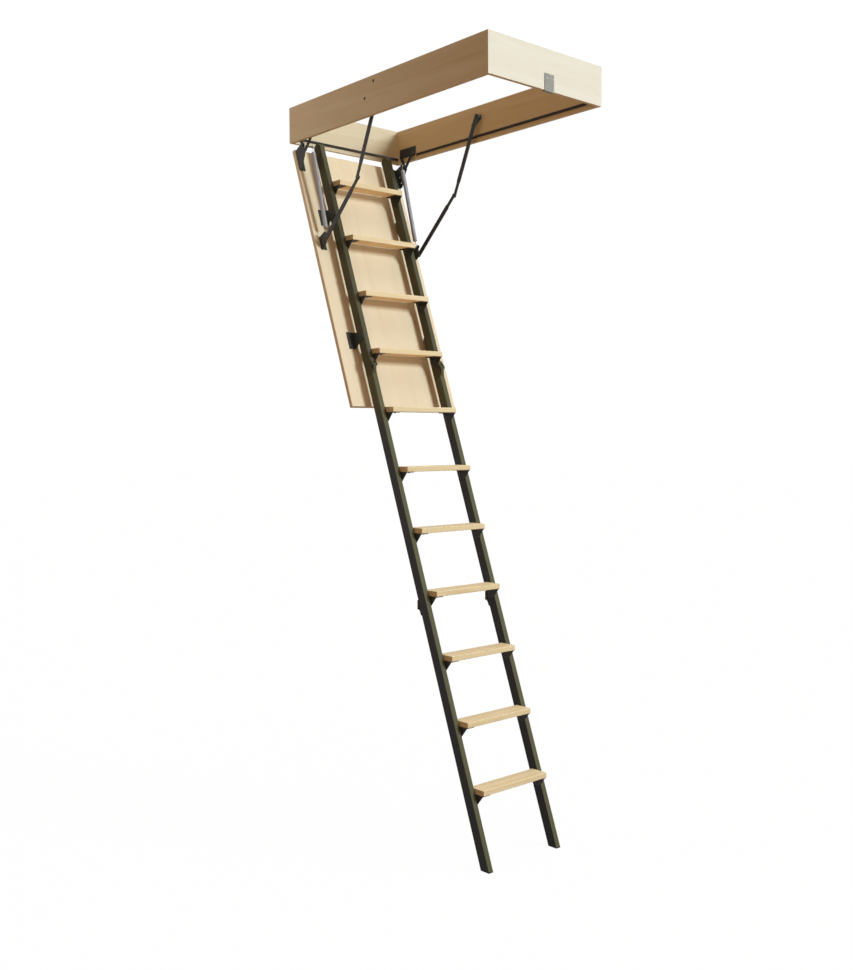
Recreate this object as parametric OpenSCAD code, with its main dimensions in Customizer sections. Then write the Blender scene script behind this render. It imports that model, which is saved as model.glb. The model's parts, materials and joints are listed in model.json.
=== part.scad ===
// Folding attic ladder: a casing for a ceiling opening, a hatch that hangs from it on links and arms,
// and a ladder of three hinged sections on the hatch, drawn unfolded down to the floor.
// Millimetres. X runs along the casing from the hinge end (-X) to the latch end (+X), Y across it
// with the near side at -Y, Z up. The origin is the centre of the casing's lower rim.

/* [Casing] */
// Outer width of the casing, across the ladder
casing_w = 590; // [560:5:720]
// Outer length of the casing
casing_l = 1175; // [1150:5:1420]
// Height of the casing boards
casing_h = 145; // [130:5:240]
// Thickness of the casing boards
board_t = 15; // [12:1:22]
// Height of the sealing strip
seal_h = 10; // [6:1:12]

/* [Hatch] */
// Thickness of the hatch panel
hatch_t = 18; // [15:1:22]
// Gap between the hatch and the end boards when it is shut
hatch_end_gap = 2; // [1:0.5:4]
// Slope of the open hatch and the ladder, in degrees
slope = 70.5; // [68:0.5:73]

/* [Hatch hinge] */
// Thickness of the hinge, arm and bracket plates
plate_t = 3; // [2:0.5:4]
// Gap between neighbouring plates of the linkage
plate_gap = 0.5; // [0.3:0.1:0.8]
// Distance between the two eyes of the carrying link
link_len = 48; // [46:0.5:50]
// Angle of the carrying link when the hatch is open
link_angle = -62.7; // [-66:0.1:-60]
// Radius of the eyes of the links
eye_r = 7.5; // [6:0.5:8]
// Radius of the linkage pins
pin_r = 4; // [3:0.5:5]
// Radial clearance of a pin in its eye
pin_fit = 0.05; // [0.02:0.01:0.1]
// Distance between the two pins on the casing plate
plate_pin_gap = 87; // [80:1:96]

/* [Arms] */
// Distance between the two eyes of an upper arm link
arm_upper_len = 330; // [326:1:390]
// Distance between the two eyes of a lower arm link
arm_lower_len = 315; // [312:1:380]
// Width of an arm link
arm_w = 20; // [18:1:24]
// Width of an arm link's neck beside the elbow
arm_neck_w = 14; // [12:1:16]
// Length of that neck
arm_neck_l = 60; // [40:1:90]
// Thickness of an arm link
arm_t = 4; // [3:0.5:5]
// Height of the upper arm pivot above the lower rim
arm_pivot_z = 96.5; // [92:0.5:100]
// Distance of the upper arm pivot from the inner face of the hinge end
arm_pivot_x = 528; // [520:0.5:532]
// Distance from the arm plate to the upper arm link
arm_reach = 15; // [8:0.5:16]
// Radius of the round bolt heads outside the casing
bolt_head_r = 6; // [5:0.5:8]
// Radius of the bolt shanks
bolt_r = 3; // [2.5:0.5:4]

/* [Ladder] */
// Distance between treads along the ladder
tread_pitch = 250; // [240:1:256]
// Length of a tread
tread_l = 336; // [280:2:360]
// Depth of a tread from front to back
tread_d = 75; // [68:1:80]
// Thickness of a tread
tread_t = 20; // [16:1:24]
// How far a tread stands out in front of the stiles
tread_nose = 47; // [44:1:56]
// Width of a stile
stile_w = 25; // [20:1:28]
// Depth of a stile, from front to back
stile_d = 42; // [34:1:44]
// Wall of the stile tube
stile_wall = 2; // [1.5:0.5:3]
// Corner radius of the stile tube
stile_r = 4; // [3:0.5:6]
// Gap between the hatch and the back of the stiles
standoff = 25.5; // [24:0.5:32]
// Height of the ceiling above the floor
room_h = 2800; // [2600:10:2840]
// How far the section hinge pins stand off the stiles
knuckle_off = 8; // [7:0.5:12]
// Radius of the section hinge knuckles
knuckle_r = 6; // [5:0.5:6.5]

/* [Springs] */
// Outer diameter of a hatch spring
spring_d = 18; // [14:1:20]
// Diameter of the spring wire
spring_wire = 3; // [2:0.5:3.5]
// Curls of each hatch spring
spring_turns = 40; // [20:1:44]

/* [Latch] */
// Width of the latch plate
latch_w = 48; // [40:1:60]
// Height of the latch plate
latch_h = 59; // [50:1:70]
// Offset of the latch plate from the casing's middle
latch_off = 7.5; // [-20:0.5:20]

/* [Hidden] */
$fn = 48;

near = -1;
far = 1;
sides = [near, far];

pale_wood = "burlywood";
dark_steel = "darkslategray";
black_steel = "black";
zinc = "silver";

wood_edge = 1.5;
inner_y = casing_w / 2 - board_t;
inner_x = casing_l / 2 - board_t;
seal_z = hatch_t - 2.5;
seal_t = plate_t;

// Directions down the open hatch and out of its face, in the X-Z plane
down = [cos(slope), -sin(slope)];
out = [sin(slope), cos(slope)];

// Planes of the hatch linkage, counted inwards from the casing's long sides
plate_y = inner_y - plate_t;
link_y = plate_y - plate_gap - plate_t;
web_y = link_y - plate_gap - plate_t;
stay_y = web_y - plate_gap - plate_t;
stay_head = 2;

// Pivots of the hatch linkage: two on the casing, two on the hatch bracket as [down, out]
link_inset = 26.6;
link_pin_z = 28.4;
link_pin = [-inner_x + link_inset, link_pin_z];
stay_pin = link_pin + [plate_pin_gap, 0];
hatch_link_eye = [10, hatch_t + 56];
hatch_stay_eye = [33, hatch_t + 62];
link_tip = link_pin + link_len * [cos(link_angle), sin(link_angle)];
hatch_corner = link_tip - hatch_link_eye[0] * down - hatch_link_eye[1] * out;

hatch_l = casing_l - 2 * board_t - 2 * hatch_end_gap;
hatch_w = 2 * plate_y - 2 * plate_gap;

// Arms: upper pivot on the casing, lower pivot on the hatch, elbow where the two links meet
arm_pin = [-inner_x + arm_pivot_x, arm_pivot_z];
arm_bolt_off = [-11.5, -0.5];
arm_bolt_reach = 38;
bolt_web = 3;
arm_upper_y = plate_y - arm_reach - arm_t;
arm_lower_y = arm_upper_y - plate_gap - arm_t;
arm_web_y = arm_lower_y - plate_gap - plate_t;
arm_hatch_eye = [437, hatch_t + 32];
arm_foot = hatch_at(arm_hatch_eye);
arm_elbow = meeting_point(arm_pin, arm_foot, arm_upper_len, arm_lower_len);
elbow_r = 8.5;
rivet_head_r = 7;
rivet_head_t = 2;

// Ladder, in the hatch's own frame: [down, out]
stile_back = hatch_t + standoff;
stile_front = stile_back + stile_d;
stile_y = tread_l / 2 + 1;
stile_top = -12;
tread_start = 185;
joint_gap = 0.3;
upper_joint = [tread_start + 3 * tread_pitch + 54, stile_front + knuckle_off];
lower_joint = [upper_joint[0] + 4 * tread_pitch - 16, stile_back - knuckle_off];
joint_block = 38;
leaf_l = 30;
leaf_t = 3;
leaf_pin_r = 3;
leaf_lug = 5;
floor_z = -room_h;
foot_plug_t = 4;
stile_reach = (room_h + hatch_corner[1]) / sin(slope) + stile_front;
section_treads = [[0, 1, 2, 3], [4, 5, 6, 7], [8, 9, 10]];

bracket_t = 3;
bracket_h = 40;
bracket_flange = 36;
bracket_gap = 0.3;

standoff_l = 72;
standoff_flange = 28;
standoff_tab_r = 17;
standoff_places = [308, 858];

// Springs: from a post on each stay to a post on each arm bracket
spring_y = arm_web_y - spring_d / 2;
spring_post_r = 2.5;
spring_post_end = 7;
spring_post_place = 15;
stay_at_rest = hatch_coordinates(stay_pin);
stay_dir = (stay_at_rest - hatch_stay_eye) / norm(stay_at_rest - hatch_stay_eye);
spring_top_post = hatch_stay_eye + spring_post_place * stay_dir;
spring_low_post = [404, hatch_t + 41];

latch_t = 2;
latch_lip = 10;
latch_lip_t = 3;
latch_screw_r = 4;
latch_screw_t = 2;
latch_screw_places = [[1.5, 54], [-15, 40.5], [17.5, 41]];

// A place on the open hatch, as [X, Z]
function hatch_at(p) = hatch_corner + p[0] * down + p[1] * out;

// A place given as [X, Z], as [down, out] on the open hatch
function hatch_coordinates(p) = [(p - hatch_corner) * down, (p - hatch_corner) * out];

// The point at one reach from a and another from b, on the ladder's side of the line between them
function meeting_point(a, b, reach_a, reach_b) =
    let (
        span = norm(b - a),
        way = (b - a) / span,
        along = (reach_a * reach_a - reach_b * reach_b + span * span) / (2 * span),
        rise = sqrt(reach_a * reach_a - along * along)
    )
    a + along * way + rise * [-way[1], way[0]];

// Draws its children in the hatch's frame: X down the hatch, Z out of it
module on_hatch() {
    translate([hatch_corner[0], 0, hatch_corner[1]])
        rotate([0, slope, 0])
            children();
}

// Draws its children, made for the far side, on the given side
module on_side(side) {
    mirror([0, side == near ? 1 : 0, 0])
        children();
}

// A flat plate: an outline in X and Z, from y up to y + t
module plate(y, t) {
    translate([0, y + t, 0])
        rotate([90, 0, 0])
            linear_extrude(t)
                children();
}

// A round pin along Y, from y up to y + l, at a place in X and Z
module pin(p, y, l, r) {
    translate([p[0], y + l, p[1]])
        rotate([90, 0, 0])
            cylinder(h = l, r = r);
}

// The outline of a straight link with round eyes at a and b, a little wider than the bar between them
module link_outline(a, b, r) {
    way = b - a;
    bar = 0.96 * r;
    translate(a)
        circle(r);
    translate(b)
        circle(r);
    translate(a)
        rotate(atan2(way[1], way[0]))
            translate([0, -bar])
                square([norm(way), 2 * bar]);
}

// The outline of an arm link: a broad bar from its pivot at a, and a neck beside its elbow at b
module arm_outline(a, b) {
    way = b - a;
    neck_start = norm(way) - arm_neck_l;
    bar = 0.96 * arm_w / 2;
    neck = arm_neck_w / 2;
    translate(a)
        circle(arm_w / 2);
    translate(b)
        circle(elbow_r);
    translate(a)
        rotate(atan2(way[1], way[0]))
            polygon([
                [0, -bar], [neck_start, -bar], [neck_start + 8, -neck], [norm(way), -neck],
                [norm(way), neck], [neck_start + 8, neck], [neck_start, bar], [0, bar]
            ]);
}

// A board with its long edges taken off, lying along X
module board(l, w, t) {
    rotate([90, 0, 90])
        linear_extrude(l)
            polygon([
                [wood_edge, 0], [w - wood_edge, 0], [w, wood_edge], [w, t - wood_edge],
                [w - wood_edge, t], [wood_edge, t], [0, t - wood_edge], [0, wood_edge]
            ]);
}

// A rectangle with round corners, its lower left corner at the origin
module round_rectangle(w, d, r) {
    translate([r, 0])
        square([w - 2 * r, d]);
    translate([0, r])
        square([w, d - 2 * r]);
    for (x = [r, w - r], y = [r, d - r])
        translate([x, y])
            circle(r);
}

module long_side(side) {
    color(pale_wood)
        on_side(side)
            difference() {
                translate([-inner_x, inner_y, 0])
                    rotate([90, 0, 0])
                        mirror([0, 0, 1])
                            linear_extrude(board_t)
                                square([2 * inner_x, casing_h]);
                pin(arm_bolt(-1), inner_y - 1, board_t, bolt_r + pin_fit);
                pin(arm_bolt(1), inner_y + bolt_web, board_t - bolt_web - 1, bolt_r + pin_fit);
                for (s = sides)
                    pin(arm_bolt(s), inner_y + board_t - plate_t, plate_t + 1, bolt_head_r + pin_fit);
            }
}

module end_board(x) {
    color(pale_wood)
        translate([x, -casing_w / 2, 0])
            cube([board_t, casing_w, casing_h]);
}

// The strip stops beside the hinge plates
module casing_seal() {
    side_start = stay_pin[0] + 2 * eye_r;
    color("dimgray") {
        difference() {
            translate([side_start, -inner_y, seal_z])
                cube([inner_x - side_start, 2 * inner_y, seal_h]);
            translate([side_start - 1, -inner_y + seal_t, seal_z - 1])
                cube([inner_x - seal_t - side_start + 1, 2 * (inner_y - seal_t), seal_h + 2]);
        }
        translate([-inner_x, -inner_y, seal_z])
            cube([seal_t, 2 * inner_y, seal_h]);
    }
}

module hinge_plate(side) {
    rim = 12;
    top_z = 60;
    color(black_steel)
        on_side(side)
            plate(plate_y, plate_t)
                union() {
                    translate([link_pin[0], link_pin_z - eye_r])
                        square([plate_pin_gap, top_z - link_pin_z + eye_r]);
                    translate([link_pin[0] - rim + 2, link_pin_z])
                        square([plate_pin_gap + 2 * rim - 4, top_z - link_pin_z]);
                    for (p = [link_pin, stay_pin])
                        translate(p)
                            circle(eye_r);
                }
}

// Each link turns on a pin that stands on the casing plate
module hinge_plate_pins() {
    color(zinc)
        for (side = sides)
            on_side(side) {
                pin(link_pin, link_y, plate_y - link_y, pin_r);
                pin(stay_pin, stay_y, plate_y - stay_y, pin_r);
                pin(stay_pin, stay_y - pin_fit - stay_head, stay_head, pin_r + 2.5);
                pin(stay_pin, stay_y - pin_fit - stay_head, stay_head + 1, pin_r);
            }
}

// The place of an arm plate's bolt: s is -1 for the lower bolt and 1 for the upper one
function arm_bolt(s) = arm_pin + arm_bolt_off + s * arm_bolt_reach * [cos(45), sin(45)];

// Each plate lies on the board between its lower bolt and the arm's pin
module arm_plates() {
    color(black_steel)
        for (side = sides)
            on_side(side)
                plate(plate_y, plate_t)
                    difference() {
                        link_outline(arm_bolt(-1), arm_pin, arm_w / 2);
                        translate(arm_bolt(-1))
                            circle(bolt_r + pin_fit);
                    }
}

// The lower bolts go through to the plates, the upper ones end inside the boards
module arm_plate_bolts() {
    color(black_steel)
        for (side = sides)
            on_side(side) {
                pin(arm_bolt(-1), plate_y, plate_t + board_t, bolt_r);
                pin(arm_bolt(1), inner_y + bolt_web, board_t - bolt_web, bolt_r);
                for (s = sides)
                    pin(arm_bolt(s), inner_y + board_t - plate_t, plate_t, bolt_head_r);
            }
}

// The arms' upper pins, with a sleeve that holds each arm off its plate
module arm_plate_pins() {
    sleeve = arm_reach - plate_gap;
    color(zinc)
        for (side = sides)
            on_side(side) {
                pin(arm_pin, arm_upper_y, plate_y - arm_upper_y, pin_r);
                pin(arm_pin, plate_y - sleeve, sleeve, pin_r + 3);
                pin(arm_pin, arm_upper_y - pin_fit - rivet_head_t, rivet_head_t, rivet_head_r);
                pin(arm_pin, arm_upper_y - pin_fit - rivet_head_t, rivet_head_t + 1, pin_r);
            }
}

module latch_plate() {
    color(zinc)
        difference() {
            union() {
                translate([casing_l / 2, latch_off - latch_w / 2, 0])
                    cube([latch_t, latch_w, latch_h]);
                translate([casing_l / 2 - latch_lip, latch_off - latch_w / 2, -latch_lip_t])
                    cube([latch_lip + latch_t, latch_w, latch_lip_t]);
            }
            for (p = latch_screw_places)
                translate([casing_l / 2 - 1, latch_off + p[0], p[1]])
                    rotate([0, 90, 0])
                        cylinder(h = latch_t + 2, r = latch_screw_r / 2);
        }
}

module latch_screws() {
    color(zinc)
        for (p = latch_screw_places)
            translate([casing_l / 2 + latch_t, latch_off + p[0], p[1]])
                rotate([0, 90, 0])
                    rotate_extrude()
                        polygon([[0, 0], [latch_screw_r, 0], [latch_screw_r - 1, latch_screw_t], [0, latch_screw_t]]);
}

// The carrying link: one eye on the casing pin, one on the hatch bracket's pin
module hinge_link(side) {
    color(black_steel)
        on_side(side)
            plate(link_y, plate_t)
                difference() {
                    link_outline(link_pin, link_tip, eye_r);
                    for (p = [link_pin, link_tip])
                        translate(p)
                            circle(pin_r + pin_fit);
                }
}

// The guiding link, with the post that the spring hooks on
module hinge_stay(side) {
    tip = hatch_at(hatch_stay_eye);
    post = hatch_at(spring_top_post);
    color(black_steel)
        on_side(side) {
            plate(stay_y, plate_t)
                difference() {
                    link_outline(stay_pin, tip, eye_r);
                    translate(stay_pin)
                        circle(pin_r + pin_fit);
                }
            pin(tip, stay_y - stay_head, stay_head + 1, pin_r + 1);
            pin(post, spring_y - spring_post_end, stay_y - spring_y + spring_post_end + 1, spring_post_r);
        }
}

// A flat arm link from its pivot to its elbow, with bores at the given places
module arm_bar(a, b, y, bores) {
    plate(y, arm_t)
        difference() {
            arm_outline(a, b);
            for (p = bores)
                translate(p)
                    circle(pin_r + pin_fit);
        }
}

module arm_upper(side) {
    color(black_steel)
        on_side(side)
            arm_bar(arm_pin, arm_elbow, arm_upper_y, [arm_pin, arm_elbow]);
}

// The lower link, with the inner head of the elbow rivet
module arm_lower(side) {
    color(black_steel)
        on_side(side) {
            arm_bar(arm_foot, arm_elbow, arm_lower_y, [arm_foot]);
            pin(arm_elbow, arm_lower_y - rivet_head_t, rivet_head_t + 1, rivet_head_r);
        }
}

// The outer ends of the elbow rivets, fast in the upper links
module arm_elbow_rivets() {
    color(zinc)
        for (side = sides)
            on_side(side)
                pin(arm_elbow, arm_upper_y, arm_t, pin_r);
}

module hatch_panel() {
    color("wheat")
        on_hatch()
            translate([0, -hatch_w / 2, 0])
                board(hatch_l, hatch_w, hatch_t);
}

// An angle on the hatch whose web carries the pin of the carrying link
module hinge_bracket(side) {
    foot_start = 5;
    foot_end = 95;
    foot_w = 26;
    ear_r = 9;
    color(black_steel)
        on_side(side)
            on_hatch() {
                plate(web_y, plate_t)
                    difference() {
                        union() {
                            polygon([
                                [foot_start, hatch_t], [foot_end, hatch_t], [foot_end, hatch_t + 16],
                                hatch_stay_eye + [ear_r, 0], hatch_link_eye + [-ear_r, 0], [foot_start - 4, hatch_t + 30]
                            ]);
                            for (p = [hatch_link_eye, hatch_stay_eye])
                                translate(p)
                                    circle(ear_r);
                        }
                        translate(hatch_link_eye)
                            circle(pin_r + pin_fit);
                        for (u = [46, 75])
                            translate([u, hatch_t + 16])
                                circle(pin_r - 1);
                    }
                translate([foot_start, web_y - foot_w, hatch_t])
                    cube([foot_end - foot_start, foot_w + 1, plate_t]);
            }
}

module hinge_bracket_pins() {
    color(zinc)
        for (side = sides)
            on_side(side)
                on_hatch()
                    pin(hatch_link_eye, web_y, 2 * plate_t + plate_gap, pin_r);
}

// An angle on the hatch with the arm's lower pivot and the spring's lower post
module arm_bracket(side) {
    foot_start = 402;
    foot_end = 456;
    foot_w = 24;
    ear_r = 10;
    color(black_steel)
        on_side(side)
            on_hatch() {
                plate(arm_web_y, plate_t)
                    difference() {
                        union() {
                            polygon([
                                [foot_start, hatch_t], [foot_end, hatch_t], arm_hatch_eye + [ear_r, 0],
                                spring_low_post + [ear_r - 2, 0], spring_low_post + [2 - ear_r, 0]
                            ]);
                            translate(arm_hatch_eye)
                                circle(ear_r);
                            translate(spring_low_post)
                                circle(ear_r - 2);
                        }
                        translate(arm_hatch_eye)
                            circle(pin_r + pin_fit);
                    }
                translate([foot_start, arm_web_y - foot_w, hatch_t])
                    cube([foot_end - foot_start, foot_w + 1, plate_t]);
                pin(spring_low_post, spring_y - spring_post_end, arm_web_y - spring_y + spring_post_end + 1,
                    spring_post_r);
            }
}

module arm_bracket_pins() {
    color(zinc)
        for (side = sides)
            on_side(side)
                on_hatch()
                    pin(arm_hatch_eye, arm_web_y, plate_t + plate_gap + arm_t, pin_r);
}

// Brackets that hold the upper section off the hatch
module standoffs(place) {
    tab_n = stile_front - stile_d / 2;
    color(black_steel)
        for (side = sides)
            on_side(side)
                on_hatch() {
                    plate(stile_y + stile_w, plate_t)
                        union() {
                            polygon([
                                [place - standoff_l / 2, hatch_t], [place + standoff_l / 2, hatch_t],
                                [place + standoff_tab_r, tab_n], [place - standoff_tab_r, tab_n]
                            ]);
                            translate([place, tab_n])
                                circle(standoff_tab_r);
                        }
                    translate([place - standoff_l / 2, stile_y + stile_w, hatch_t])
                        cube([standoff_l, standoff_flange + plate_t, plate_t]);
                }
}

// A length of stile tube in the hatch's frame
module stile_tube(from, to) {
    translate([from, stile_y, stile_back])
        rotate([90, 0, 90])
            linear_extrude(to - from)
                difference() {
                    round_rectangle(stile_w, stile_d, stile_r);
                    translate([stile_wall, stile_wall])
                        round_rectangle(stile_w - 2 * stile_wall, stile_d - 2 * stile_wall, stile_r - stile_wall);
                }
}

// The upper stile's top end is closed and rounded
module upper_stile(side) {
    top_r = stile_d / 2;
    color(dark_steel)
        on_side(side)
            on_hatch() {
                stile_tube(stile_top + top_r, upper_joint[0] - joint_gap);
                difference() {
                    pin([stile_top + top_r, stile_back + top_r], stile_y, stile_w, top_r);
                    translate([stile_top + top_r, stile_y - 1, stile_back - 1])
                        cube([top_r + 1, stile_w + 2, stile_d + 2]);
                }
            }
}

module mid_stile(side) {
    color(dark_steel)
        on_side(side)
            on_hatch()
                stile_tube(upper_joint[0] + joint_block, lower_joint[0] - joint_gap);
}

// Everything above the foot plugs' upper face
module above_feet(z) {
    intersection() {
        children();
        translate([-casing_l, -casing_w, z])
            cube([2 * casing_l, 2 * casing_w, room_h]);
    }
}

module lower_stile(side) {
    color(dark_steel)
        on_side(side)
            above_feet(floor_z + foot_plug_t)
                on_hatch()
                    stile_tube(lower_joint[0] + joint_gap, stile_reach);
}

// Plugs that close the stiles' lower ends, level with the floor
module foot_plugs() {
    color(black_steel)
        for (side = sides)
            on_side(side)
                intersection() {
                    on_hatch()
                        translate([lower_joint[0], stile_y, stile_back])
                            rotate([90, 0, 90])
                                linear_extrude(stile_reach - lower_joint[0])
                                    round_rectangle(stile_w, stile_d, stile_r);
                    translate([-casing_l, 0, floor_z])
                        cube([2 * casing_l, casing_w, foot_plug_t]);
                }
}

// The top front edge of tread k, counted from 0, as [X, Z]
function tread_edge(k) = hatch_at([tread_start + k * tread_pitch, stile_front + tread_nose]);

module tread(k) {
    color(pale_wood)
        translate([tread_edge(k)[0], -tread_l / 2, tread_edge(k)[1] - tread_t])
            rotate([0, 0, 90])
                board(tread_l, tread_d, tread_t);
}

// Angles under the ends of a section's treads, against the stiles' inner faces
module tread_brackets(section) {
    color(black_steel)
        for (side = sides, k = section_treads[section])
            on_side(side)
                tread_bracket(tread_edge(k) - [0, tread_t]);
}

// One angle: edge is the tread's lower front edge
module tread_bracket(edge) {
    outer = stile_y - bracket_gap;
    front_in = 4;
    back = tread_d - 8;
    foot = bracket_h / tan(slope);
    nose = tread_nose / sin(slope);
    plate(outer - bracket_t, bracket_t)
        polygon([
            edge + [-front_in, 0], edge + [-nose + foot - 1, -bracket_h], edge + [-nose + foot - 22, -bracket_h],
            edge + [-back, -bracket_t - 6], edge + [-back, 0]
        ]);
    translate([edge[0] - back, outer - bracket_flange, edge[1] - bracket_t])
        cube([back - front_in, bracket_flange - 1, bracket_t]);
}

// The side outline of a hinge leaf: a foot on a stile's face that rises to the knuckle.
// run is +1 when the leaf lies further down than the pin, rise is +1 on the stiles' front
module leaf_outline(joint, run, rise) {
    face = joint[1] - rise * knuckle_off;
    start = joint[0] + run * joint_gap;
    translate(joint)
        circle(knuckle_r);
    polygon([
        [start, face], [start + run * leaf_l, face], [start + run * leaf_l, face + rise * leaf_t],
        joint + [run * knuckle_r * 0.6, rise * knuckle_r * 0.8], joint + [0, rise * knuckle_r]
    ]);
}

// A leaf with lugs between the given widths across the stile
module leaf(joint, run, rise, lugs) {
    difference() {
        for (lug = lugs)
            plate(stile_y + lug[0], lug[1] - lug[0])
                leaf_outline(joint, run, rise);
        pin(joint, stile_y - 1, stile_w + 2, leaf_pin_r + pin_fit);
    }
}

function outer_lugs() = [[0, leaf_lug], [stile_w - leaf_lug, stile_w]];
function inner_lug() = [[leaf_lug + joint_gap, stile_w - leaf_lug - joint_gap]];

module upper_hinge_leaves() {
    color(black_steel)
        for (side = sides)
            on_side(side)
                on_hatch() {
                    leaf(upper_joint, -1, 1, outer_lugs());
                    translate([upper_joint[0] - joint_gap - leaf_l, stile_y, stile_front])
                        cube([leaf_l - knuckle_r, stile_w, leaf_t]);
                }
}

module upper_hinge_pins() {
    color(zinc)
        for (side = sides)
            on_side(side)
                on_hatch()
                    pin(upper_joint, stile_y, stile_w, leaf_pin_r);
}

// Top blocks that fill the section's upper stile ends, and leaves at both ends
module mid_hinge_leaves() {
    color(black_steel)
        for (side = sides)
            on_side(side)
                on_hatch() {
                    leaf(upper_joint, 1, 1, inner_lug());
                    translate([upper_joint[0] + joint_gap, stile_y, stile_back])
                        rotate([90, 0, 90])
                            linear_extrude(joint_block - joint_gap)
                                round_rectangle(stile_w, stile_d, stile_r);
                    leaf(lower_joint, -1, -1, outer_lugs());
                    translate([lower_joint[0] - joint_gap - leaf_l, stile_y, stile_back - leaf_t])
                        cube([leaf_l - knuckle_r, stile_w, leaf_t]);
                }
}

module mid_hinge_pins() {
    color(zinc)
        for (side = sides)
            on_side(side)
                on_hatch()
                    pin(lower_joint, stile_y, stile_w, leaf_pin_r);
}

module lower_hinge_leaves() {
    color(black_steel)
        for (side = sides)
            on_side(side)
                on_hatch() {
                    leaf(lower_joint, 1, -1, inner_lug());
                    translate([lower_joint[0] + knuckle_r, stile_y, stile_back - leaf_t])
                        cube([leaf_l - knuckle_r, stile_w, leaf_t]);
                }
}

// Springs are drawn in a frame of their own: X along the spring, from the upper post to the lower one
spring_way = spring_low_post - spring_top_post;
spring_span = norm(spring_way);
spring_tilt = atan2(spring_way[1], spring_way[0]);
spring_sides = 6;
rings_per_curl = 8;
coil_r = (spring_d - spring_wire) / 2;

// A hook is a ring round the post, a bend that joins it to the spring's axis, and a short neck
hook_r = 6;
hook_bend_r = 5;
hook_neck = 10;
hook_end = 260;
hook_rings = 10;
bend_rings = 3;
hook_seat = hook_r - spring_wire / 2 - spring_post_r - 0.3;
bend_reach = sqrt(hook_r * hook_r + 2 * hook_r * hook_bend_r);
hook_start = atan2(hook_bend_r, bend_reach);
coil_start = hook_seat + bend_reach + hook_neck;
coil_l = spring_span - 2 * coil_start;

function hook_place(a) = [hook_seat + hook_r * cos(a), 0, hook_r * sin(a)];
function bend_place(a) = [hook_seat + bend_reach - hook_bend_r * sin(a), 0, hook_bend_r * (1 - cos(a))];

// One hook, from the wire's free end to the start of the coil
function hook_points() = concat(
    [hook_place(hook_end) + spring_wire * [-sin(hook_end), 0, cos(hook_end)]],
    [for (i = [0:hook_rings]) hook_place(hook_end + (hook_start - hook_end) * i / hook_rings)],
    [for (i = [1:bend_rings]) bend_place((90 - hook_start) * (1 - i / bend_rings))]
);

// The coil, opening out of the axis over its first curl and closing into it over its last
function coil_points() =
    let (steps = spring_turns * rings_per_curl)
    [for (i = [0:steps])
        let (swell = min(1, i / rings_per_curl, (steps - i) / rings_per_curl), a = 360 * i / rings_per_curl)
        [coil_start + coil_l * i / steps, coil_r * swell * sin(a), coil_r * swell * cos(a)]];

function turned(points) = [for (i = [len(points) - 1:-1:0])
    [spring_span - points[i][0], points[i][1], points[i][2]]];

spring_path = concat(hook_points(), coil_points(), turned(hook_points()));

function unit(v) = v / norm(v);
function path_way(i) = unit(spring_path[min(i + 1, len(spring_path) - 1)] - spring_path[max(i - 1, 0)]);

// A ring of points square to the path, its first point kept in step with the ring before
function ring_starts(i = 0, last = [0, 1, 0], found = []) =
    i == len(spring_path) ? found :
    let (side = unit(last - (last * path_way(i)) * path_way(i)))
    ring_starts(i + 1, side, concat(found, [side]));

function spring_skin(starts) = [for (i = [0:len(spring_path) - 1], k = [0:spring_sides - 1])
    let (a = 360 * k / spring_sides, across = cross(path_way(i), starts[i]))
    spring_path[i] + spring_wire / 2 * (cos(a) * starts[i] + sin(a) * across)];

function spring_faces() =
    let (rings = len(spring_path), s = spring_sides)
    concat(
        [for (i = [0:rings - 2], k = [0:s - 1]) [i * s + k, (i + 1) * s + k, i * s + (k + 1) % s]],
        [for (i = [0:rings - 2], k = [0:s - 1])
            [i * s + (k + 1) % s, (i + 1) * s + k, (i + 1) * s + (k + 1) % s]],
        [for (k = [1:s - 2]) [0, k, k + 1]],
        [for (k = [1:s - 2]) [(rings - 1) * s, (rings - 1) * s + k + 1, (rings - 1) * s + k]]
    );

// Least gap of the spring's wire to itself, between points that are not neighbours along it
spring_gap = min([for (i = [0:len(spring_path) - 1], j = [i + 5:1:len(spring_path) - 1])
    norm(spring_path[i] - spring_path[j])]) - spring_wire;
echo(spring_least_gap = spring_gap);

module spring(side) {
    color(zinc)
        on_side(side)
            on_hatch()
                translate([spring_top_post[0], spring_y, spring_top_post[1]])
                    rotate([0, -spring_tilt, 0])
                        polyhedron(points = spring_skin(ring_starts()), faces = spring_faces());
}

long_side(near);  // casing_near_side
long_side(far);  // casing_far_side
end_board(-casing_l / 2);  // casing_hinge_end
end_board(inner_x);  // casing_latch_end
casing_seal();
hinge_plate(near);  // hinge_plate_near
hinge_plate(far);  // hinge_plate_far
hinge_plate_pins();
arm_plates();
arm_plate_bolts();
arm_plate_pins();
latch_plate();
latch_screws();
hinge_link(near);  // hinge_link_near
hinge_link(far);  // hinge_link_far
hinge_stay(near);  // hinge_stay_near
hinge_stay(far);  // hinge_stay_far
arm_upper(near);  // arm_upper_near
arm_upper(far);  // arm_upper_far
arm_elbow_rivets();
arm_lower(near);  // arm_lower_near
arm_lower(far);  // arm_lower_far
hatch_panel();
hinge_bracket(near);  // hinge_bracket_near
hinge_bracket(far);  // hinge_bracket_far
hinge_bracket_pins();
arm_bracket(near);  // arm_bracket_near
arm_bracket(far);  // arm_bracket_far
arm_bracket_pins();
standoffs(standoff_places[0]);  // standoffs_upper
standoffs(standoff_places[1]);  // standoffs_lower
upper_stile(near);  // upper_stile_near
upper_stile(far);  // upper_stile_far
tread(0);  // tread_1
tread(1);  // tread_2
tread(2);  // tread_3
tread(3);  // tread_4
tread_brackets(0);  // upper_tread_brackets
upper_hinge_leaves();
upper_hinge_pins();
spring(near);  // spring_near
spring(far);  // spring_far
mid_stile(near);  // mid_stile_near
mid_stile(far);  // mid_stile_far
tread(4);  // tread_5
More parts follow.
